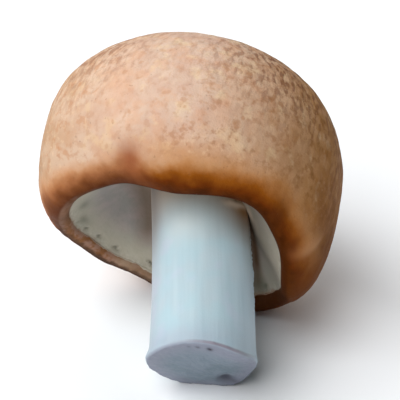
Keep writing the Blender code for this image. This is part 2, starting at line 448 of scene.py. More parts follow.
def cap_values(R, D, from_lip):
    """Where the cap's tints lie, as shares at its points, and how far its brown margin reaches."""
    upper, middle = rise(from_lip, *UPPER_RISE), rise(from_lip, *MIDDLE_RISE)
    off_crown = climb(R, 0, CROWN_BLEND)
    off_crown = off_crown * off_crown * (3 - 2 * off_crown)
    right = arc(D, *RIGHT_START) * arc(D, *RIGHT_END)
    scaly = SCALY + sectors(SCALY_SECTORS, D)
    scaly = upper * (CROWN_SCALY + (scaly - CROWN_SCALY) * off_crown)
    scaly = scaly + off_crown * sector(D, *SCALY_RIGHT) * rise(from_lip, *SCALY_RIGHT_RISE)
    spotty = SPOTTY + middle * sector(D, *SPOTTY_RIGHT) + (1 - upper) * sector(D, *SPOTTY_LOW)
    spotty = spotty + swelling(SPOTTY_SPOTS, D, from_lip) + sector(D, *SPOTTY_LEFT)
    spotty = CROWN_SPOTTY + (spotty - CROWN_SPOTTY) * off_crown
    return {
        "from_lip": from_lip,
        "reach": REACH + sectors(REACH_SECTORS, D),
        "right": CROWN_RIGHT + (right - CROWN_RIGHT) * off_crown,
        "left": sector(D, *LEFT_SECTOR) * off_crown,
        "warm": beyond(D, *WARM_BEYOND),
        "brown": np.clip(sector(D, *BROWN_SECTOR), 0, 1) * rise(from_lip, *BROWN_FALL),
        "scaly": np.clip(scaly, 0, 1),
        "spotty": np.clip(spotty, 0, 1),
        "pink_lip": np.maximum(sector(D, *PINK_LIP_LOW), sector(D, *PINK_LIP_LEFT)),
        "outline": sector(D, *OUTLINE_SECTOR),
        "apricot": spot(D, from_lip, *APRICOT_SPOT),
        "beige": np.clip(patch(D, from_lip, *BEIGE_PATCH) + sector(D, *BEIGE_SECTOR), 0, 1),
        "salmon": sum(share * patch(D, from_lip, *place) for share, place in SALMON_PATCHES),
        # a painted highlight on the right margin, and the low right end's brown with painted shade
        "highlight_patch": patch(D, from_lip, *HIGHLIGHT_PATCH),
        "low_right_brown_and_shade": sector(D, *LOW_RIGHT_SECTOR) * climb(from_lip, *LOW_RIGHT_CLIMB),
        # painted shade along the cap's right edge
        "right_rim_shade": sector(D, *RIGHT_RIM_SHADE_SECTOR) * climb(from_lip, *RIGHT_RIM_SHADE_CLIMB) * off_crown,
        "left_line": spot(D, from_lip, *LEFT_LINE_SPOT),
        "left_end": sector(D, *LEFT_END_SECTOR),
        # painted shade along the cap's left edge
        "left_rim_shade": sector(D, *LEFT_RIM_SHADE_SECTOR) * rise(from_lip, *LEFT_RIM_SHADE_FALL),
    }


def cap_piece(material, shift):
    radius, level, way, lip_way = cap_outline()
    R, D, L = blank(radius, level, CAP_STEP)
    from_lip = np.repeat((lip_way - way)[:, None], R.shape[1], 1)
    place = cap_form(R, D, L)
    # the forms at the margin; their masks also carry painted shade in the fold and crease and a painted
    # highlight on the ridge
    fold, pale, crease = (patch(D, from_lip, *form) for form in (FOLD, PALE_RIDGE, CREASE))
    swell = rough(place, *CAP_BROAD) + rough(place, *CAP_FINE) * climb(from_lip, *CAP_FINE_START)
    swell = swell - FOLD_DEPTH * fold + RIDGE_HEIGHT * pale - CREASE_DEPTH * crease
    swell = swell + spot(D, from_lip, *RIGHT_SWELL)
    swell = swell * climb(from_lip, *CAP_SWELL_START)
    place = place + normals_of(place, CAP_SURE_RING) * swell[..., None]
    world = on_floor(lying(place) + shift)
    attributes = {"place": place, "along": unit(np.gradient(place, axis=0))}
    attributes.update(cap_values(R, D, from_lip), fold=fold, pale=pale, crease=crease)
    return add_piece("cap_skin", world, attributes, material, "cap", (True, False))


# The veil

# degrees between the points of a ring, the rings on the lip and inside it, and their crowding there
VEIL_STEP = 0.75
RIM_RINGS = 8
VEIL_RINGS = 120
VEIL_CROWDING = 1.25
# where the rim starts round the lip's section, and how many degrees it wraps back over the lip: at
# least, and more where it is ragged, cottony or torn, with the ragged noise as on the cap
RIM_ANGLE = 84
RIM_WRAP = 2
RAGGED_WRAP = 10
COTTONY_WRAP = 14
TORN_WRAP = 26
COTTONY_SECTOR = (118, 24)
TORN_SECTOR = (312, 12)
RIM_RAGGED = (0.5, 1.1, 11)
# how the rim is lifted off the lip and tucked into it, its breadth, the fade of the lip's roundness
# into the bowl, and the share of the throat's radius where the membrane ends
RIM_LIFT = 0.05
TORN_LIFT = 0.1
LIFT_FULLNESS = 0.7
RIM_TUCK = 0.1
TUCK_SHARPNESS = 3
RIM_BREADTH = 0.8
ROLL_FADE = 0.6
VEIL_END = 0.55
# pits: how narrow they are, their depth as a share of the part's, how many there are, and where
PIT_SHARPNESS = 2.5
PIT_SHARE = 0.8
PIT_PLENTY = 0.75
PIT_UNEVEN = (0.9, 2.6, 13)
NO_PITS_LEFT = (215, 38, 48)
NO_PITS_RIGHT = (0, 40, 50)
LAST_PITS = (46, 5)
# cotton beside the edge, and the broad swell
COTTON_AT = 0.4
COTTON_WIDTH = 1.0
COTTON_HEIGHT = 0.08
VEIL_COTTON = (1.0, 0.8, 4)
VEIL_BROAD = (0.08, 3.5, 5)
# the groove beside the stem, painted with the stem's cast shadow, the torn pale strip, painted lighter
# against its shade, and the deep shade, painted near the stem, with the cap's own X across and Y down
SLIT_ACROSS = 10.4
SLIT_SLANT = 0.08
SLIT_WIDTH = 1.25
SLIT_START = (-2.5, 0.5)
SLIT_END = (18, 12)
SLIT_DEPTH = 0.7
STRIP_AT = (11.3, -1.4)
STRIP_SIZE = (0.9, 1.6)
DEEP_START = (-11, -8.4)
DEEP_END = (15, 11.5)
# other tints, as sectors and as spots with a distance from the veil's edge
MOSS_SPOTS = ((189, 8, 1.9, 0.8, 1.0), (168, 6, 1.2, 0.6, 1.0), (50, 7, 1.0, 1.2, 1.3))
HEM_SECTORS = ((170, 36, 1.0), (48, 22, 1.0))
DULL_SECTOR = (5, 48)


def veil_grid():
    """Radius, direction, level and distance from the edge of the veil's points, ring by ring."""
    direction = np.arange(0, 360, VEIL_STEP)
    angle = np.radians(direction)
    circle = LIP_EDGE * np.stack([np.cos(angle), np.sin(angle), np.zeros(len(angle))], -1)
    ragged = 0.5 + rough(circle, *RIM_RAGGED)
    torn, cottony = sector(direction, *TORN_SECTOR), sector(direction, *COTTONY_SECTOR)
    rim = np.linspace(0, 1, RIM_RINGS + 1)[:-1, None]
    wrap = RIM_WRAP + (RAGGED_WRAP + COTTONY_WRAP * cottony) * ragged + TORN_WRAP * torn
    over = np.radians(RIM_ANGLE - (1 - rim) * wrap)
    lift = (RIM_LIFT + TORN_LIFT * torn) * np.sin(math.pi * rim) ** LIFT_FULLNESS
    lift = lift - RIM_TUCK * (1 - rim) ** TUCK_SHARPNESS
    rim_radius = MOUTH_RADIUS - (LIP_RADIUS + lift) * np.sin(over)
    rim_level = LIP_LEVEL - (LIP_RADIUS + lift) * np.cos(over)

    edge = MOUTH_RADIUS - LIP_RADIUS * math.sin(math.radians(RIM_ANGLE))
    share = np.linspace(0, 1, VEIL_RINGS + 1) ** VEIL_CROWDING
    inner = edge - (edge - THROAT_RADIUS * VEIL_END) * share
    inner = np.repeat(inner[:, None], len(direction), 1)
    roll = LIP_RADIUS * math.cos(math.radians(RIM_ANGLE))
    roll = roll * np.exp(-np.maximum(0, edge - inner) / ROLL_FADE)
    R = np.concatenate([rim_radius, inner])
    D = np.repeat(direction[None], len(R), 0)
    L = np.concatenate([rim_level, veil_level(np.minimum(inner, LIP_EDGE)) - roll])
    on_rim = np.broadcast_to((rim - 1) * RIM_BREADTH, rim_radius.shape)
    return R, D, L, np.concatenate([on_rim, LIP_EDGE - inner])


def veil_piece(material, shift):
    """The membrane's visible face, from over the lip's edge to inside the stem's neck."""
    R, D, L, from_edge = veil_grid()
    place = cap_form(R, D, L)
    count, swing, start, lag = PIT_DRIFT
    drift = swing * np.sin(np.radians(count * (D - start)))
    beat = np.cos(np.radians(VEIL_PITS * D - lag) + drift)
    pit = bell(from_edge - PIT_ROW, PIT_WIDTH) * (0.5 + 0.5 * beat) ** PIT_SHARPNESS
    pit = pit * np.clip(PIT_PLENTY + rough(place, *PIT_UNEVEN), 0, 1)
    plain = beyond(D, *NO_PITS_LEFT) * beyond(D, *NO_PITS_RIGHT)
    pit = pit * np.maximum(plain, sector(D, *LAST_PITS))
    cotton = bell(from_edge - COTTON_AT, COTTON_WIDTH) * rough(place, *VEIL_COTTON)
    across, down = place[..., 0], place[..., 1]
    # the groove beside the stem, whose dark is painted shadow of the stem, the painted shade near the
    # stem, and the pale strip painted lighter against its shade
    slit_and_shadow = bell(across - SLIT_ACROSS - SLIT_SLANT * down, SLIT_WIDTH) * (across > 0)
    slit_and_shadow = slit_and_shadow * climb(down, *SLIT_START) * climb(down, *SLIT_END)
    deep_shade = climb(across, *DEEP_START) * (across < 0) * climb(down, *DEEP_END)
    pale_strip_and_light = bell(across - STRIP_AT[0], STRIP_SIZE[0]) * bell(down - STRIP_AT[1], STRIP_SIZE[1])
    swell = PIT_SHARE * PIT_DEPTH * pit - COTTON_HEIGHT * cotton + rough(place, *VEIL_BROAD)
    place[..., 2] += swell + SLIT_DEPTH * slit_and_shadow
    attributes = {
        "place": place,
        "from_edge": from_edge,
        "pit": pit,
        "slit_and_shadow": slit_and_shadow,
        "pale_strip_and_light": pale_strip_and_light,
        "deep_shade": deep_shade,
        "hem": np.clip(sectors(HEM_SECTORS, D), 0, 1),
        "dull": sector(D, *DULL_SECTOR),
        "moss": swelling(MOSS_SPOTS, D, from_edge),
    }
    world = lying(place) + shift
    return add_piece("veil_skin", world, attributes, material, "veil")


# The stem

# degrees between the points of a ring, the rings of each stretch, and a ring that surely faces out
STEM_STEP = 1.5
STEM_RINGS = 299
CORNER_RINGS = 8
FACE_RINGS = 59
STEM_SURE_RING = 100
# lumps of noise: height, size and seed, and octaves where they aren't three
STREAK_SWELL = (0.06, 3.0, 6)
CUT_SWELL = (0.05, 1.6, 7)
EDGE_SWELL = (0.1, 1.4, 8)
FUZZ_FINE = (0.22, 0.5, 10, 2)
FUZZ_BROAD = (0.12, 1.6, 12, 2)
# how streaks are drawn out, and the band of lumps at the cut's edge: its height and half-height
STREAK_DRAW = (1, 1, 0.1)
EDGE_BAND = (0.2, 0.5)
# the faint ring near the cap: its level, how much nearer it lies on the right, its noise, ends and size
COLLAR_LEVEL = -2.6
COLLAR_LIFT = 0.9
COLLAR_LIFT_ARC = (336, -10, 10)
COLLAR_UNEVEN = (0.3, 2.5, 9)
COLLAR_START = (328, -26, -12)
COLLAR_END = (328, 28, 16)
COLLAR_WIDTH = 0.6
COLLAR_HEIGHT = 0.15
# the fluff on the right side
FUZZ_SECTOR = (11, 15)
FUZZ_TOP = (-2, -5)
FUZZ_BOTTOM = (-21, -16)
# tints, as sectors, spots and climbs like those of the cap, but by the level in the stem's frame
# painted light: the right side, turned from the light, is painted paler
SHADY_SECTOR = (0, 42)
# painted shadow of the cap on the upper right of the stem
CAP_SHADOW_SECTOR = (340, 34)
CAP_SHADOW_CLIMB = (-10, -3)
LEFT_EDGE_SECTOR = (204, 24)
# painted shade at the top left, under the cap
TOP_LEFT_SHADE_SECTOR = (208, 17)
TOP_LEFT_SHADE_CLIMB = (-13, -4)
# painted light on the top, under the cap's lip
TOP_LIGHT_SPOT = (262, 34, -6.0, 3.4)
TOP_EDGE_SECTOR = (302, 38)
# dark spots on the cut end: x, y, half-width and strength
CUT_SPOTS = (
    (2.75, 5.4, 1.3, 0.8),
    (4.5, 6.4, 1.1, 0.45),
    (2.3, -7.0, 0.42, 1.2),
    (0.5, -7.4, 0.35, 0.7),
    (-0.9, -7.5, 0.3, 0.4),
)


def stem_outline():
    """Radii and levels from inside the cap, down the side and round the edge to the cut's middle."""
    share = np.linspace(0, 1, STEM_RINGS + 1)
    level = STEM_TOP - (STEM_TOP + STEM_FOOT - CUT_ROUNDING) * share
    side = NECK_RADIUS + (FOOT_RADIUS - NECK_RADIUS) * share**STEM_TAPER
    side = side + CUT_FLARE * bell(level + STEM_FOOT, FLARE_HEIGHT)
    angle = np.linspace(0, math.pi / 2, CORNER_RINGS + 1)[1:]
    corner_radius = side[-1] - CUT_ROUNDING * (1 - np.cos(angle))
    corner_level = level[-1] - CUT_ROUNDING * np.sin(angle)
    face_radius = np.linspace(corner_radius[-1], POLE_RADIUS, FACE_RINGS + 1)[1:]
    radius = np.concatenate([side, corner_radius, face_radius])
    return radius, np.concatenate([level, corner_level, np.full(len(face_radius), -STEM_FOOT)])


def collar_share(place, D, L):
    """How much of the faint ring round the top of the stem each point has."""
    ring = L - COLLAR_LEVEL - COLLAR_LIFT * arc(D, *COLLAR_LIFT_ARC)
    ring = ring + rough(place * np.array([1, 1, 0]), *COLLAR_UNEVEN)
    return bell(ring, COLLAR_WIDTH) * arc(D, *COLLAR_START) * arc(D, *COLLAR_END)


def stem_piece(material, shift):
    R, D, L = blank(*stem_outline(), STEM_STEP)
    place = stem_form(R, D, L)
    on_cut = climb(L, CUT_ROUNDING - STEM_FOOT, -STEM_FOOT)
    near_cut = climb(L, CUT_EASE - STEM_FOOT, CUT_ROUNDING - STEM_FOOT)
    place[..., 2] -= near_cut * cut_drop(place[..., 0], place[..., 1])
    collar = collar_share(place, D, L)
    fuzz = sector(D, *FUZZ_SECTOR) * climb(L, *FUZZ_TOP) * climb(L, *FUZZ_BOTTOM)
    swell = rough(place * np.array(STREAK_DRAW), *STREAK_SWELL) * (1 - on_cut)
    swell = swell + rough(place, *CUT_SWELL) * on_cut
    swell = swell + rough(place, *EDGE_SWELL) * bell(L + STEM_FOOT - EDGE_BAND[0], EDGE_BAND[1])
    swell = swell + COLLAR_HEIGHT * collar
    swell = swell + fuzz * (np.maximum(0, rough(place, *FUZZ_FINE)) + rough(place, *FUZZ_BROAD))
    place = place + normals_of(place, STEM_SURE_RING) * swell[..., None]
    world = on_floor(lying(stem_in_cap(place)) + shift)
    spots = np.zeros(R.shape)
    for x, y, size, strength in CUT_SPOTS:
        spots = spots + strength * bell(np.hypot(place[..., 0] - x, place[..., 1] - y), size)
    attributes = {
        "place": place,
        "on_cut": on_cut,
        "from_cut": L + STEM_FOOT,
        "cut_radius": np.hypot(place[..., 0], place[..., 1]),
        "spots": np.clip(on_cut * spots, 0, 1),
        "collar": collar,
        "shady": sector(D, *SHADY_SECTOR),
        # painted shadow of the cap, painted shade at the top left and painted light on the top
        "cap_shadow": sector(D, *CAP_SHADOW_SECTOR) * climb(L, *CAP_SHADOW_CLIMB),
        "left_edge": sector(D, *LEFT_EDGE_SECTOR),
        "top_left_shade": sector(D, *TOP_LEFT_SHADE_SECTOR) * climb(L, *TOP_LEFT_SHADE_CLIMB),
        "top_light": spot(D, L, *TOP_LIGHT_SPOT),
        "top_edge": sector(D, *TOP_EDGE_SECTOR),
    }
    return add_piece("stem_skin", world, attributes, material, "stem", (True, True))


# Materials

# the roughness of noise that is drawn out, and noise for fine relief: scale, detail and roughness
DRAWN_ROUGHNESS = 0.55
RELIEF = (3.0, 4, 0.55)


def srgb(red, green, blue):
    """Linear colour of an sRGB colour given from 0 to 255."""
    shares = [channel / 255 for channel in (red, green, blue)]
    linear = [s / 12.92 if s <= 0.04045 else ((s + 0.055) / 1.055) ** 2.4 for s in shares]
    return (*linear, 1)


class Graph:
    """Short calls for a material's nodes. A value may be a number, a colour or another node's output."""

    def __init__(self, name):
        self.material = bpy.data.materials.new(name)
        self.material.use_nodes = True
        self.tree = self.material.node_tree
        self.shader = self.tree.nodes["Principled BSDF"]

    def put(self, socket, value):
        if isinstance(value, bpy.types.NodeSocket):
            self.tree.links.new(value, socket)
        else:
            socket.default_value = value

    def node(self, kind, inputs, **settings):
        node = self.tree.nodes.new("ShaderNode" + kind)
        for key, value in settings.items():
            setattr(node, key, value)
        for key, value in inputs.items():
            self.put(node.inputs[key], value)
        return node

    def value(self, name):
        return self.node("Attribute", {}, attribute_name=name).outputs["Fac"]

    def vector(self, name):
        return self.node("Attribute", {}, attribute_name=name).outputs["Vector"]

    def math(self, operation, a, b=0.0):
        return self.node("Math", {0: a, 1: b}, operation=operation).outputs[0]

    def product(self, *values):
        result = values[0]
        for value in values[1:]:
            result = self.math("MULTIPLY", result, value)
        return result

    def scaled(self, vector, factors):
        return self.node("VectorMath", {0: vector, 1: factors}, operation="MULTIPLY").outputs[0]

    def span(self, value, low, high, to_low=0.0, to_high=1.0):
        """The value carried smoothly from one span to another."""
        inputs = {"Value": value, "From Min": low, "From Max": high, "To Min": to_low, "To Max": to_high}
        return self.node("MapRange", inputs, interpolation_type="SMOOTHSTEP").outputs["Result"]

    def noise(self, vector, scale, detail, roughness):
        inputs = {"Vector": vector, "Scale": scale, "Detail": detail, "Roughness": roughness}
        return self.node("TexNoise", inputs).outputs["Fac"]

    def blobs(self, vector, scale, detail, roughness, low, high):
        """Noise as a share from 0 to 1, which it reaches between two of its values."""
        return self.span(self.noise(vector, scale, detail, roughness), low, high)

    def drawn_noise(self, place, along, step, scale, detail):
        """Noise drawn out along a direction, as the mean of three samples."""
        taps = []
        for share in (-step, 0, step):
            moved = self.node("VectorMath", {0: along, "Scale": share}, operation="SCALE").outputs[0]
            at = self.node("VectorMath", {0: place, 1: moved}, operation="ADD").outputs[0]
            taps.append(self.noise(at, scale, detail, DRAWN_ROUGHNESS))
        return self.math("DIVIDE", self.math("ADD", self.math("ADD", taps[0], taps[1]), taps[2]), 3.0)

    def wander(self, vector, height, *pattern):
        """Noise up and down from 0, times a height."""
        return self.product(self.math("SUBTRACT", self.noise(vector, *pattern), 0.5), height)

    def bump(self, height, distance, strength):
        inputs = {"Height": height, "Distance": distance, "Strength": strength}
        return self.node("Bump", inputs).outputs["Normal"]

    def mix(self, share, a, b):
        """Inputs 6 and 7 and output 2 of the node are its colours."""
        node = self.node("Mix", {}, data_type="RGBA")
        for key, value in ((0, share), (6, a), (7, b)):
            self.put(node.inputs[key], value)
        return node.outputs[2]

    def pair(self, share, colours):
        """A mix of two colours that are given from 0 to 255."""
        return self.mix(share, srgb(*colours[0]), srgb(*colours[1]))

    def lay(self, colour, look, *where, between=None):
        """A look laid over a colour where the shares say. Its two colours are mixed by between."""
        share, *tints = look
        tint = srgb(*tints[0]) if between is None else self.pair(between, tints)
        return self.mix(self.product(*where, share), colour, tint)

    def lay_values(self, colour, looks, names):
        """Looks laid over a colour, each where the mesh's value of its name says."""
        for name in names:
            colour = self.lay(colour, looks[name], self.value(name))
        return colour

    def ramp(self, value, stops):
        """A run of colours along a value, each stop a place from 0 to 1 and a colour."""
        node = self.node("ValToRGB", {"Fac": value})
        elements = node.color_ramp.elements
        while len(elements) < len(stops):
            elements.new(1.0)
        for element, (position, colour) in zip(elements, stops):
            element.position = position
            element.color = srgb(*colour)
        return node.outputs["Color"]

    def finish(self, **inputs):
        for key, value in inputs.items():
            self.put(self.shader.inputs[key.replace("_", " ")], value)
        return self.material


# The cap's looks

# base colours in pairs, then how much of each look is laid on, and its colour or the two that something
# mixes
CAP_PINKISH = ((207, 180, 160), (200, 168, 149))
CAP_ORANGE = ((186, 142, 98), (172, 126, 76))
CAP_BLOTS = ((180, 130, 94), (132, 88, 50))
CAP_LOOKS = {
    "clouds": (0.45, (206, 158, 126), (164, 118, 76)),
    "cream": (0.45, (222, 196, 158)),
    "salmon": (0.5, (208, 158, 128)),
    # darker tan on the left: partly its tone, partly painted shade towards the left edge
    "left": (0.95, (188, 158, 132), (176, 142, 110)),
    "apricot": (0.85, (188, 136, 92)),
    "brown": (0.95, (146, 98, 54), (128, 80, 38)),
    "scales": (0.9, (144, 102, 78), (102, 58, 42)),
    "ridges": (0.5, (124, 82, 56)),
    "gaps": (0.6, (228, 200, 176), (204, 158, 118)),
    "soft_dark": (0.7, (176, 130, 98), (134, 90, 50)),
    "soft_pale": (0.3, (226, 196, 164), (198, 154, 114)),
    "tawny": (0.4, (158, 108, 56)),
    # the next two: painted shade along the cap's right and left edges
    "right_rim_shade": (0.3, (138, 86, 58)),
    "left_rim_shade": (0.35, (158, 124, 100)),
    "grain": (0.3, (118, 70, 44), (108, 54, 14)),
    # the next five: the fold's reddish colour with painted shade, the low right end's brown with painted
    # shade, painted highlights on the light patch and the ridge, and painted shade in the crease
    "fold": (0.75, (142, 76, 46)),
    "low_right_brown_and_shade": (0.8, (100, 54, 20)),
    "highlight_patch": (0.3, (174, 124, 82)),
    "pale": (0.75, (182, 134, 94)),
    "crease": (0.7, (88, 44, 14)),
    "beige": (0.7, (184, 160, 134)),
    "left_end": (0.85, (136, 98, 74)),
    "outline": (0.85, (68, 48, 36)),
    "left_line": (0.75, (104, 56, 30)),
    "spots": (0.25, (98, 62, 36)),
}
# the margin's colours from the lip upwards, on the left and elsewhere
MARGIN_REDDISH = (
    (0.0, (84, 40, 14)),
    (0.2, (122, 70, 36)),
    (0.45, (158, 102, 64)),
    (0.75, (184, 132, 92)),
    (1.0, (202, 154, 116)),
)
MARGIN_GOLDEN = (
    (0.0, (60, 25, 2)),
    (0.18, (102, 46, 5)),
    (0.42, (138, 76, 17)),
    (0.75, (172, 116, 66)),
    (1.0, (190, 142, 98)),
)
LIP_DARK = (72, 34, 8)
LIP_MOTTLES = ((166, 128, 108), (144, 98, 64))
# noise: blobs in a millimetre, detail and roughness, then the noise where a blob begins and is full
CAP_PATTERNS = {
    "patches": (0.2, 2, 0.55, 0.35, 0.65),
    "clouds": (0.42, 3, 0.55, 0.45, 0.68),
    "cream": (0.3, 3, 0.55, 0.54, 0.68),
    "brown": (0.4, 3, 0.55, 0.4, 0.62),
    "soft_dark": (0.8, 3, 0.6, 0.5, 0.68),
    "soft_pale": (1.1, 3, 0.6, 0.55, 0.7),
    "tawny": (0.33, 2, 0.55, 0.5, 0.66),
    "blots": (0.55, 1.5, 0.55, 0.62, 0.72),
    "grain": (0.6, 4, 0.6, 0.4, 0.66),
    "mottles": (0.7, 3, 0.55, 0.4, 0.6),
    "spots": (1.5, 1, 0.55, 0.71, 0.77),
}
# the wander of the margin's upper edge and of the outline: noise, and how many millimetres
MARGIN_WANDER = (0.22, 3, 0.5)
WANDER_HEIGHTS = (3.4, 5.0)
LIP_WANDER = (0.8, 2, 0.55)
OUTLINE_WANDER = 1.6
# noise drawn out from the crown: the step between its samples, blobs in a millimetre and detail
SCALE_NOISE = (0.4, 1.05, 2)
RIDGE_NOISE = (0.4, 0.9, 3)
# spans over which a share runs from 0 to 1, of that noise and of distances from the lip
SCALE_SPAN = (0.5, 0.58)
RIDGE_SPAN = (0.03, 0.0)
GAP_SPAN = (0.47, 0.38)
DEPTH_SPAN = (1.9, 0.0)
RAMP_SPAN = (-0.15, 1.6)
MARGIN_SPAN = (1.75, 0.75)
INNER_SPAN = (0.1, -0.5)
OUTLINE_AT = 0.1
OUTLINE_SPAN = (1.4, 0.6)
# the blots' share where the mottling is 0 and 1, and the roughness above the margin and at the lip
BLOT_SHARES = (0.3, 0.65)
CAP_ROUGHNESS = (0.6, 0.5)
# relief: the shares of noise and scales, then the bump's distance in metres and its strength
CAP_RELIEF_SHARES = (0.6, 0.5)
CAP_BUMP = (0.00018, 0.6)


def cap_ground(g, blobs, right):
    """Pinkish tan, more orange on the right, in soft patches."""
    patches = blobs["patches"]
    colour = g.mix(right, g.pair(patches, CAP_PINKISH), g.pair(patches, CAP_ORANGE))
    colour = g.lay(colour, CAP_LOOKS["clouds"], blobs["clouds"], between=right)
    colour = g.lay(colour, CAP_LOOKS["cream"], blobs["cream"])
    colour = g.lay_values(colour, CAP_LOOKS, ["salmon"])
    # darker tan on the left: partly its tone, partly painted shade towards the left edge
    colour = g.lay(colour, CAP_LOOKS["left"], g.value("left"), between=patches)
    colour = g.lay_values(colour, CAP_LOOKS, ["apricot"])
    return g.lay(colour, CAP_LOOKS["brown"], g.value("brown"), between=blobs["brown"])


def cap_material():
    g = Graph("cap_skin_looks")
    place, along = g.vector("place"), g.vector("along")
    from_lip, right, warm = g.value("from_lip"), g.value("right"), g.value("warm")
    scaly, spotty = g.value("scaly"), g.value("spotty")
    blobs = {name: g.blobs(place, *pattern) for name, pattern in CAP_PATTERNS.items()}
    colour = cap_ground(g, blobs, right)

    # small soft scales and dark lines, with paler gaps, drawn out from the crown
    speckle = g.drawn_noise(place, along, *SCALE_NOISE)
    line = g.drawn_noise(place, along, *RIDGE_NOISE)
    scales = g.span(speckle, *SCALE_SPAN)
    ridges = g.span(g.math("ABSOLUTE", g.math("SUBTRACT", line, 0.5)), *RIDGE_SPAN)
    colour = g.lay(colour, CAP_LOOKS["scales"], scales, scaly, between=right)
    colour = g.lay(colour, CAP_LOOKS["ridges"], ridges, scaly)
    colour = g.lay(colour, CAP_LOOKS["gaps"], g.span(speckle, *GAP_SPAN), scaly, between=right)
    for name in ("soft_dark", "soft_pale"):
        colour = g.lay(colour, CAP_LOOKS[name], blobs[name], spotty, between=right)
    colour = g.lay(colour, CAP_LOOKS["tawny"], blobs["tawny"], right)
    blots = g.product(blobs["blots"], g.span(spotty, 0, 1, *BLOT_SHARES))
    colour = g.mix(blots, colour, g.pair(right, CAP_BLOTS))
    # painted shade along the cap's right and left edges
    colour = g.lay_values(colour, CAP_LOOKS, ["right_rim_shade", "left_rim_shade"])

    # the margin goes from tan to deep brown towards the lip, with an uneven upper edge
    wander = g.wander(place, g.span(warm, 0, 1, *WANDER_HEIGHTS), *MARGIN_WANDER)
    height = g.math("DIVIDE", g.math("ADD", from_lip, wander), g.value("reach"))
    depth = g.span(height, *DEPTH_SPAN)
    level = g.span(height, *RAMP_SPAN)
    margin = g.mix(warm, g.ramp(level, MARGIN_REDDISH), g.ramp(level, MARGIN_GOLDEN))
    colour = g.mix(g.span(height, *MARGIN_SPAN), colour, margin)
    colour = g.lay(colour, CAP_LOOKS["grain"], blobs["grain"], depth, between=warm)
    # painted shade in the fold, at the low right end and in the crease, and painted highlights on the
    # light patch and the ridge
    colour = g.lay_values(colour, CAP_LOOKS, ["fold", "low_right_brown_and_shade", "highlight_patch", "pale", "crease"])

    # the rolled lip: dark at the top and right, pinkish with a dark outer line at the left and below
    mottled = g.pair(blobs["mottles"], LIP_MOTTLES)
    mottled = g.lay_values(mottled, CAP_LOOKS, ["beige", "left_end"])
    lip = g.mix(g.value("pink_lip"), srgb(*LIP_DARK), mottled)
    colour = g.mix(g.span(from_lip, *INNER_SPAN), colour, lip)
    ragged = g.wander(place, OUTLINE_WANDER, *LIP_WANDER)
    outer = g.math("ABSOLUTE", g.math("ADD", g.math("SUBTRACT", from_lip, OUTLINE_AT), ragged))
    outer = g.span(outer, *OUTLINE_SPAN)
    colour = g.lay(colour, CAP_LOOKS["outline"], outer, g.value("outline"))
    colour = g.lay_values(colour, CAP_LOOKS, ["left_line"])
    colour = g.lay(colour, CAP_LOOKS["spots"], blobs["spots"])

    fine_share, scale_share = CAP_RELIEF_SHARES
    fine = g.product(g.noise(place, *RELIEF), fine_share)
    relief = g.math("SUBTRACT", fine, g.product(scales, scaly, scale_share))
    return g.finish(
        Base_Color=colour,
        Roughness=g.span(depth, 0, 1, *CAP_ROUGHNESS),
        Normal=g.bump(relief, *CAP_BUMP),
        Subsurface_Weight=0.08,
        Subsurface_Scale=0.001,
        Subsurface_Radius=(1.0, 0.55, 0.35),
        Specular_IOR_Level=0.02,
    )


# The veil's looks

VEIL_PALE = ((154, 150, 144), (168, 156, 152))
VEIL_LOOKS = {
    "dull": (0.6, (158, 148, 128)),
    "edge": (0.9, (182, 175, 157)),
    "cotton": (0.8, (190, 184, 168)),
    "pit": (0.9, (84, 80, 66)),
    "moss": (0.6, (112, 114, 98)),
    # the next three: painted shade near the stem, painted shadow of the stem in the groove, and the pale
    # strip painted lighter against its shade
    "deep_shade": (0.85, (118, 100, 84)),
    "slit_and_shadow": (0.95, (84, 56, 30)),
    "pale_strip_and_light": (0.95, (236, 220, 198)),
    "hem": (0.8, (142, 104, 80)),
}
VEIL_PATTERNS = {
    "soft": (0.3, 3, 0.55, 0.35, 0.65),
    "cotton": (1.3, 4, 0.55, 0.45, 0.62),
    "broken": (0.9, 2, 0.55, 0.36, 0.6),
}
# spans over which a share runs from 0 to 1, in distance from the edge
VEIL_EDGE_SPAN = (5.0, 0.8)
COTTON_SPAN = (1.2, 0.0)
HEM_SPAN = (0.75, 0.25)
# how far the hem wanders, what the dull side takes off the bright edge, and how soft a pit's rim is
HEM_WANDER = (0.9, 2, 0.55)
HEM_HEIGHT = 0.9
DULL_EDGE = 0.75
PIT_FADE = 1.3
VEIL_RELIEF = (1.6, 4, 0.55)
VEIL_BUMP = (0.00012, 0.5)


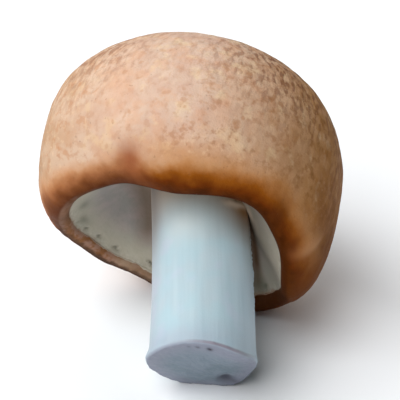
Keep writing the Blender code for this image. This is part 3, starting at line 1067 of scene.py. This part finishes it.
def veil_material():
    g = Graph("veil_membrane_looks")
    place, from_edge = g.vector("place"), g.value("from_edge")
    blobs = {name: g.blobs(place, *pattern) for name, pattern in VEIL_PATTERNS.items()}
    colour = g.pair(blobs["soft"], VEIL_PALE)
    colour = g.lay_values(colour, VEIL_LOOKS, ["dull"])
    bright = g.math("SUBTRACT", 1.0, g.product(g.value("dull"), DULL_EDGE))
    colour = g.lay(colour, VEIL_LOOKS["edge"], g.span(from_edge, *VEIL_EDGE_SPAN), bright)
    colour = g.lay(colour, VEIL_LOOKS["cotton"], blobs["cotton"], g.span(from_edge, *COTTON_SPAN))
    pit = g.math("POWER", g.value("pit"), PIT_FADE)
    colour = g.lay(colour, VEIL_LOOKS["pit"], pit, blobs["broken"])
    # painted shade near the stem, painted shadow in the groove, and painted light on the pale strip
    colour = g.lay_values(colour, VEIL_LOOKS, ["moss", "deep_shade", "slit_and_shadow", "pale_strip_and_light"])
    wander = g.product(g.noise(place, *HEM_WANDER), HEM_HEIGHT)
    hem = g.span(g.math("ADD", from_edge, wander), *HEM_SPAN)
    colour = g.lay(colour, VEIL_LOOKS["hem"], hem, g.value("hem"))
    return g.finish(
        Base_Color=colour,
        Roughness=0.75,
        Normal=g.bump(g.noise(place, *VEIL_RELIEF), *VEIL_BUMP),
        Subsurface_Weight=0.1,
        Subsurface_Scale=0.001,
        Subsurface_Radius=(1.0, 0.75, 0.55),
        Specular_IOR_Level=0.1,
    )


# The stem's looks

STEM_PALE = ((168, 187, 195), (175, 193, 200))
STEM_LOOKS = {
    "fine": (0.08, (156, 176, 188)),
    "blot": (0.6, (164, 194, 203)),
    "mauve": (0.5, (182, 190, 206)),
    # painted light: the right side, turned from the light, is painted paler
    "shady": (0.9, (204, 224, 236)),
    # the neck's cream tint, painted lighter against the cap's shade, then the painted shadow of the cap
    # on the upper right and painted light on the top
    "neck": (0.9, (212, 192, 170)),
    "cap_shadow": (0.95, (150, 106, 54)),
    "top_light": (0.9, (206, 218, 220)),
    "left_edge": (0.4, (158, 156, 164)),
    # painted shade at the top left, under the cap
    "top_left_shade": (0.7, (146, 138, 132)),
    "collar": (0.95, (226, 206, 186)),
    "low": (0.4, (150, 160, 178)),
    "rim": (0.75, (141, 143, 158)),
    "top_edge": (0.7, (124, 102, 114)),
}
CUT_GREY = ((114, 128, 138), (124, 136, 148))
CUT_DARK = (60, 58, 70)
STEM_PATTERNS = {
    "blot": (0.14, 2, 0.55, 0.42, 0.6),
    "mauve": (0.21, 2, 0.55, 0.52, 0.68),
    "cut": (0.3, 3, 0.55, 0.4, 0.6),
}
# noise drawn out along the stem
GRAIN_DRAW = (1, 1, 0.07)
STEM_GRAIN = (0.55, 3, 0.5, 0.36, 0.64)
STEM_FINE = (2.2, 3, 0.6)
# spans over which a share runs from 0 to 1, of that noise, the height above the cut and its radius
FINE_SPAN = (0.5, 0.7)
NECK_SPAN = (21.0, 29.0)
LOW_SPAN = (5.5, 1.0)
LINE_TOP_SPAN = (0.8, 0.5)
LINE_BOTTOM_SPAN = (0.1, 0.3)
RIM_SPAN = (4.5, 8.0)
STEM_RELIEF_SHARES = (0.6, 0.4)
STEM_BUMP = (0.0001, 0.4)


def stem_material():
    g = Graph("stem_flesh_looks")
    place, from_cut, shady = g.vector("place"), g.value("from_cut"), g.value("shady")
    blobs = {name: g.blobs(place, *pattern) for name, pattern in STEM_PATTERNS.items()}
    drawn = g.scaled(place, GRAIN_DRAW)
    colour = g.pair(g.blobs(drawn, *STEM_GRAIN), STEM_PALE)
    fine = g.noise(drawn, *STEM_FINE)
    colour = g.lay(colour, STEM_LOOKS["fine"], g.span(fine, *FINE_SPAN))
    for name in ("blot", "mauve"):
        colour = g.lay(colour, STEM_LOOKS[name], blobs[name])
    # the right side, turned from the light, painted paler
    colour = g.lay(colour, STEM_LOOKS["shady"], shady)
    # the neck's cream tint with painted light against the cap's shade
    colour = g.lay(colour, STEM_LOOKS["neck"], g.span(from_cut, *NECK_SPAN))
    # painted shadow of the cap on the upper right, painted light on the top and painted shade at the top
    # left
    colour = g.lay_values(colour, STEM_LOOKS, ["cap_shadow", "top_light", "left_edge", "top_left_shade", "collar"])
    lit = g.math("SUBTRACT", 1.0, shady)
    colour = g.lay(colour, STEM_LOOKS["low"], g.span(from_cut, *LOW_SPAN), lit)

    # the cut end, and the line along its upper edge
    face = g.pair(blobs["cut"], CUT_GREY)
    face = g.lay(face, STEM_LOOKS["rim"], g.span(g.value("cut_radius"), *RIM_SPAN))
    face = g.mix(g.value("spots"), face, srgb(*CUT_DARK))
    colour = g.mix(g.value("on_cut"), colour, face)
    line = g.product(g.span(from_cut, *LINE_TOP_SPAN), g.span(from_cut, *LINE_BOTTOM_SPAN))
    colour = g.lay(colour, STEM_LOOKS["top_edge"], line, g.value("top_edge"))

    fine_share, grain_share = STEM_RELIEF_SHARES
    grain = g.product(g.noise(place, *RELIEF), grain_share)
    relief = g.math("ADD", g.product(fine, fine_share), grain)
    return g.finish(
        Base_Color=colour,
        Roughness=0.5,
        Normal=g.bump(relief, *STEM_BUMP),
        Subsurface_Weight=0.15,
        Subsurface_Scale=0.0014,
        Subsurface_Radius=(1.0, 0.9, 0.8),
        Specular_IOR_Level=0.2,
    )


# Stage

# The photograph's view: the camera's height in degrees, its distance from the cap's middle, the
# picture's scale there, how far the cap's middle lies left of and above the picture's, the picture's
# width in pixels, the sensor's in millimetres, and the clip distances in metres.
VIEW_RISE = 29.75
VIEW_DISTANCE = 350.0
PIXELS_PER_MM = 6.084
CAP_LEFT = 1.72
CAP_ABOVE = 3.06
PICTURE_SIZE = 400
SENSOR = 36.0
CLIP_START = 0.01
CLIP_END = 20
# soft lights: degrees round from +X, degrees up, strength and breadth in degrees
LIGHTS = (
    ("key_light", 232, 50, 2.8, 52),
    ("side_light", 168, 42, 1.45, 45),
    ("back_light", 92, 47, 1.0, 45),
)
WORLD_LIGHT = 0.03
# the floor's size in metres and its linear colour
FLOOR_SIZE = 6.0
FLOOR_COLOUR = (0.88, 0.9, 0.92, 1)


def add_floor():
    bpy.ops.mesh.primitive_plane_add(size=FLOOR_SIZE, location=(0, 0, 0))
    floor = bpy.context.object
    floor.name = "floor"
    g = Graph("pale_floor")
    material = g.finish(Base_Color=FLOOR_COLOUR, Roughness=0.7, Specular_IOR_Level=0.2)
    floor.data.materials.append(material)


def add_lights():
    for name, around, height, strength, breadth in LIGHTS:
        sun = bpy.data.lights.new(name, "SUN")
        sun.energy = strength
        sun.angle = math.radians(breadth)
        light = bpy.data.objects.new(name, sun)
        a, h = math.radians(around), math.radians(height)
        toward = Vector((math.cos(h) * math.cos(a), math.cos(h) * math.sin(a), math.sin(h)))
        light.rotation_euler = toward.to_track_quat("Z", "Y").to_euler()
        bpy.context.scene.collection.objects.link(light)
    world = bpy.data.worlds.new("studio")
    bpy.context.scene.world = world
    world.use_nodes = True
    background = world.node_tree.nodes["Background"]
    background.inputs["Color"].default_value = (1, 1, 1, 1)
    background.inputs["Strength"].default_value = WORLD_LIGHT


def add_camera(middle_mm):
    rise_angle = math.radians(VIEW_RISE)
    up = Vector((0, math.sin(rise_angle), math.cos(rise_angle)))
    toward = Vector((0, -math.cos(rise_angle), math.sin(rise_angle)))
    middle = Vector(middle_mm)
    aim = middle + Vector((1, 0, 0)) * CAP_LEFT - up * CAP_ABOVE
    place = middle + toward * VIEW_DISTANCE
    data = bpy.data.cameras.new("camera")
    data.sensor_width = SENSOR
    data.lens = PIXELS_PER_MM * VIEW_DISTANCE * SENSOR / PICTURE_SIZE
    data.clip_start = CLIP_START
    data.clip_end = CLIP_END
    camera = bpy.data.objects.new("camera", data)
    camera.location = place * MM
    camera.rotation_euler = (place - aim).to_track_quat("Z", "Y").to_euler()
    bpy.context.scene.collection.objects.link(camera)
    bpy.context.scene.camera = camera


shift = cap_shift()
add_camera(shift)
add_lights()
add_floor()
cap_piece(cap_material(), shift)
veil_piece(veil_material(), shift)
stem_piece(stem_material(), shift)
bpy.context.scene.view_settings.view_transform = "Standard"
